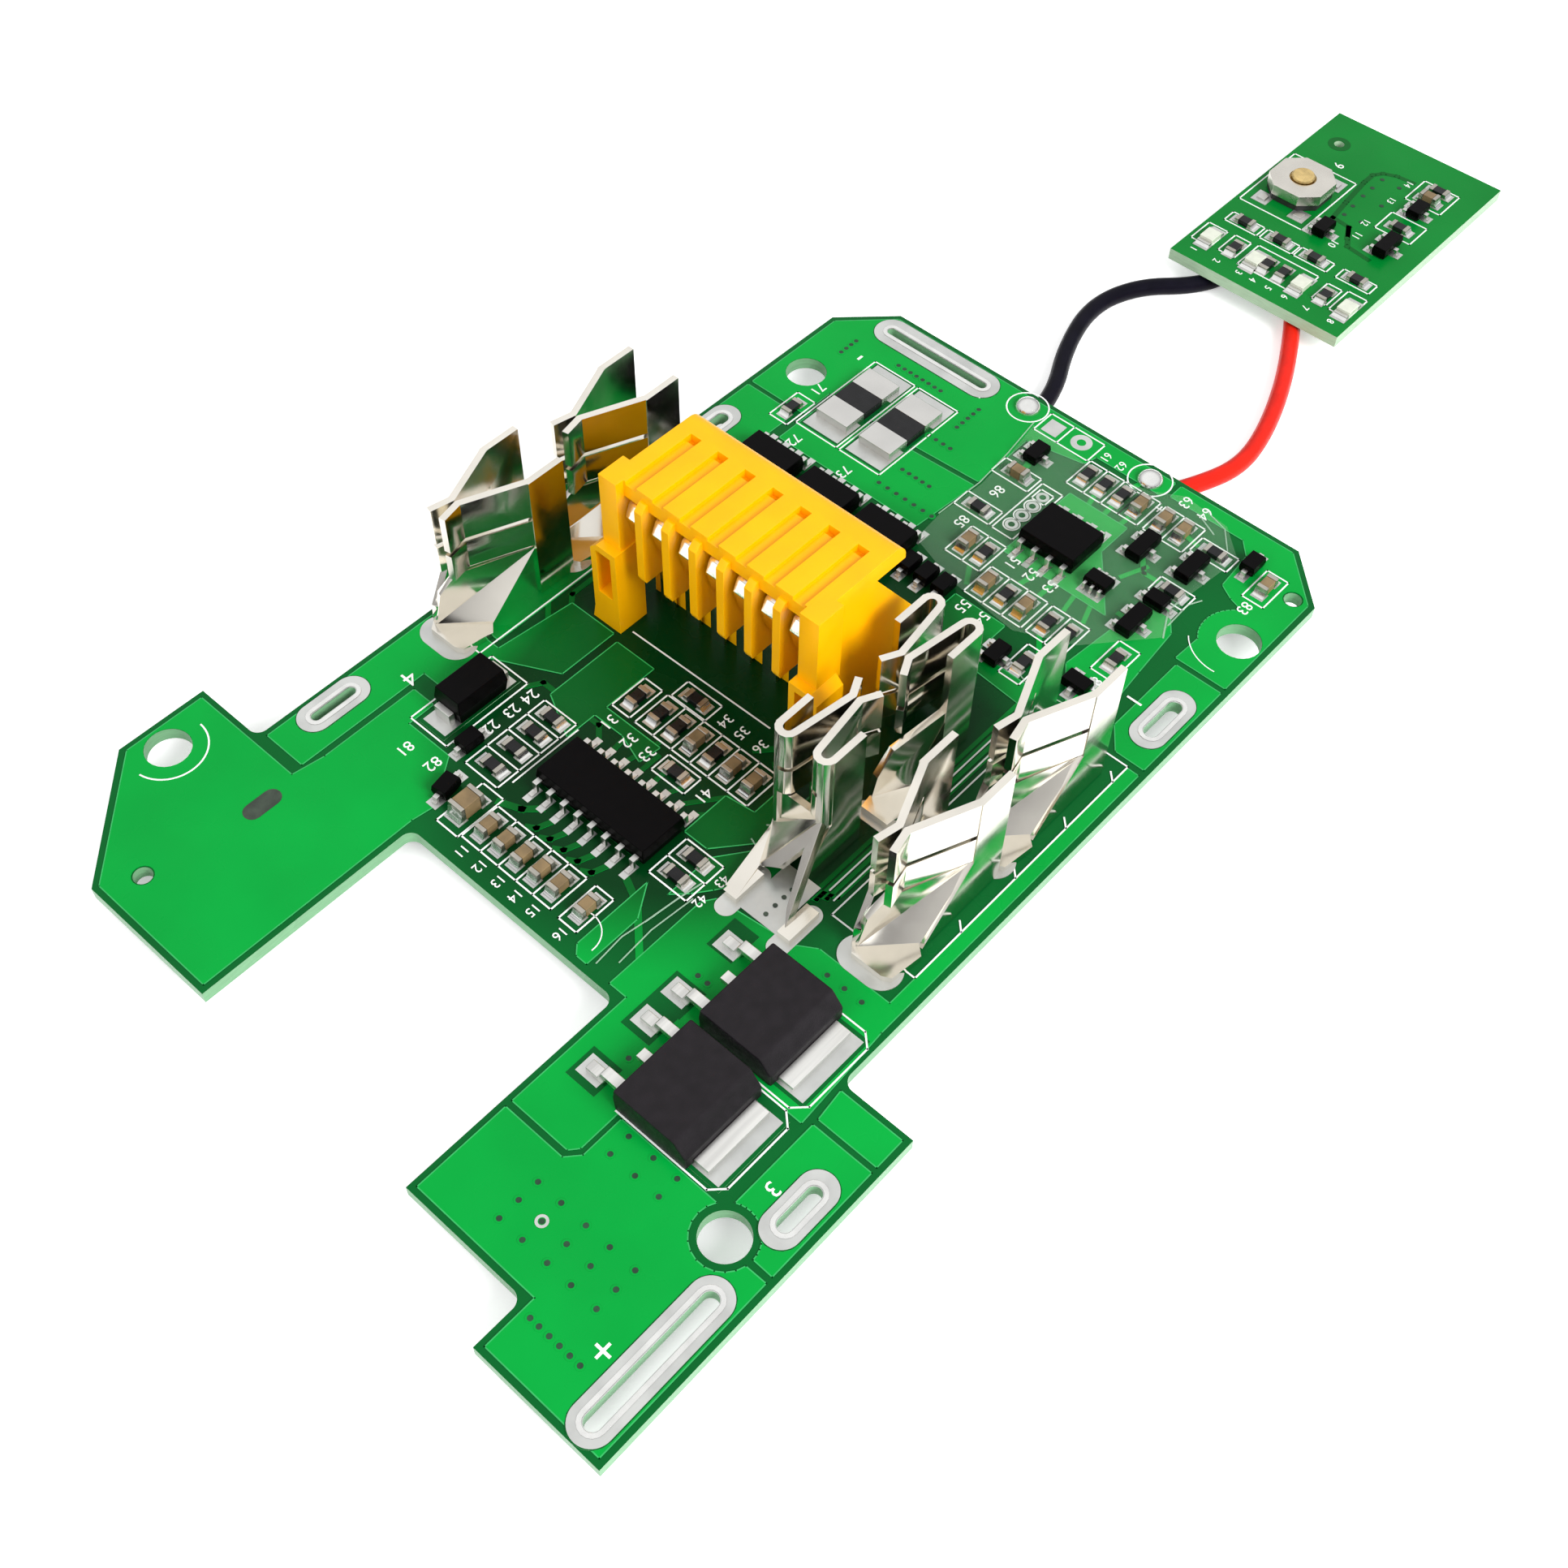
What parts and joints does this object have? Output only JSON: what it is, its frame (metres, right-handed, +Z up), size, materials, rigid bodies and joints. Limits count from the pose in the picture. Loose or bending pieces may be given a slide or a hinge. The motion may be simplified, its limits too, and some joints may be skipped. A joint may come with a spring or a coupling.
{
  "type": "battery management board",
  "caption": "Green battery protection board with spring receptacles, a yellow signal connector, power parts and a wired indicator board with a push switch.",
  "frame": {"origin": "midway between the two near screw holes, on the main board's underside", "axes": "+X along the board to its far end and the indicator board, +Y to its left edge, +Z up through the near screw holes to the side with the parts"},
  "size_m": [0.1286, 0.057, 0.0164],
  "materials": {
    "green_solder_mask": "glossy green solder mask on glass-fibre laminate",
    "tinned_pad": "bright tinned copper",
    "solder": "bright solder",
    "plated_spring_sheet": "bright nickel-plated spring sheet",
    "yellow_plastic": "moulded yellow plastic",
    "plated_leaf": "bright plated leaf spring",
    "black_epoxy": "moulded black epoxy",
    "tinned_lead": "tinned leads and end caps",
    "brown_ceramic": "fired ceramic",
    "white_lamp": "clear and white lamp body",
    "switch_plastic": "black moulding",
    "switch_metal": "stainless sheet",
    "brass_button": "brass-coloured button",
    "black_insulation": "soft black sleeve",
    "red_insulation": "soft red sleeve"
  },
  "bodies": {
    "boards": {"battery_tab_pads": "tinned_pad", "black_wire": "black_insulation", "capacitor_bodies": "brown_ceramic", "capacitor_ends": "tinned_lead", "connector_contact_1": "plated_leaf", "connector_contact_2": "plated_leaf", "connector_contact_3": "plated_leaf", "connector_contact_4": "plated_leaf", "connector_contact_5": "plated_leaf", "connector_contact_6": "plated_leaf", "connector_contact_7": "plated_leaf", "connector_housing": "yellow_plastic", "contact_foot_pads": "tinned_pad", "controller_chip_body": "black_epoxy", "controller_chip_leads": "tinned_lead", "indicator_board": "green_solder_mask", "indicator_capacitor_body": "brown_ceramic", "indicator_capacitor_ends": "tinned_lead", "indicator_lamp_bodies": "white_lamp", "indicator_lamp_ends": "tinned_lead", "indicator_resistor_bodies": "black_epoxy", "indicator_resistor_ends": "tinned_lead", "indicator_transistor_bodies": "black_epoxy", "indicator_transistor_leads": "tinned_lead", "larger_diode_body": "black_epoxy", "larger_diode_leads": "tinned_lead", "left_front_contact": "plated_spring_sheet", "left_rear_contact": "plated_spring_sheet", "main_board": "green_solder_mask", "middle_front_contact": "plated_spring_sheet", "middle_rear_contact": "plated_spring_sheet", "monitor_chip_body": "black_epoxy", "monitor_chip_leads": "tinned_lead", "power_transistor_1_body": "black_epoxy", "power_transistor_1_metal": "tinned_lead", "power_transistor_2_body": "black_epoxy", "power_transistor_2_metal": "tinned_lead", "red_wire": "red_insulation", "resistor_bodies": "black_epoxy", "resistor_ends": "tinned_lead", "right_front_contact": "plated_spring_sheet", "right_rear_contact": "plated_spring_sheet", "shunt_resistor_bodies": "black_epoxy", "shunt_resistor_terminals": "tinned_lead", "small_semiconductor_bodies": "black_epoxy", "small_semiconductor_leads": "tinned_lead", "switch_base": "switch_plastic", "switch_cover": "switch_metal", "switch_dome": "switch_metal", "switch_leads": "tinned_lead", "switching_transistor_bodies": "black_epoxy", "switching_transistor_leads": "tinned_lead", "underside_solder_joints": "solder", "wire_solder_joints": "solder"},
    "button": {"switch_button": "brass_button"}
  },
  "joints": [
    {"name": "button_press", "type": "slide", "parent": "boards", "child": "button", "axis": [0, 0, -1], "range_m": [0, 0.00025], "stiffness_N_per_m": 6000, "deforming": ["switch_dome"]}
  ]
}
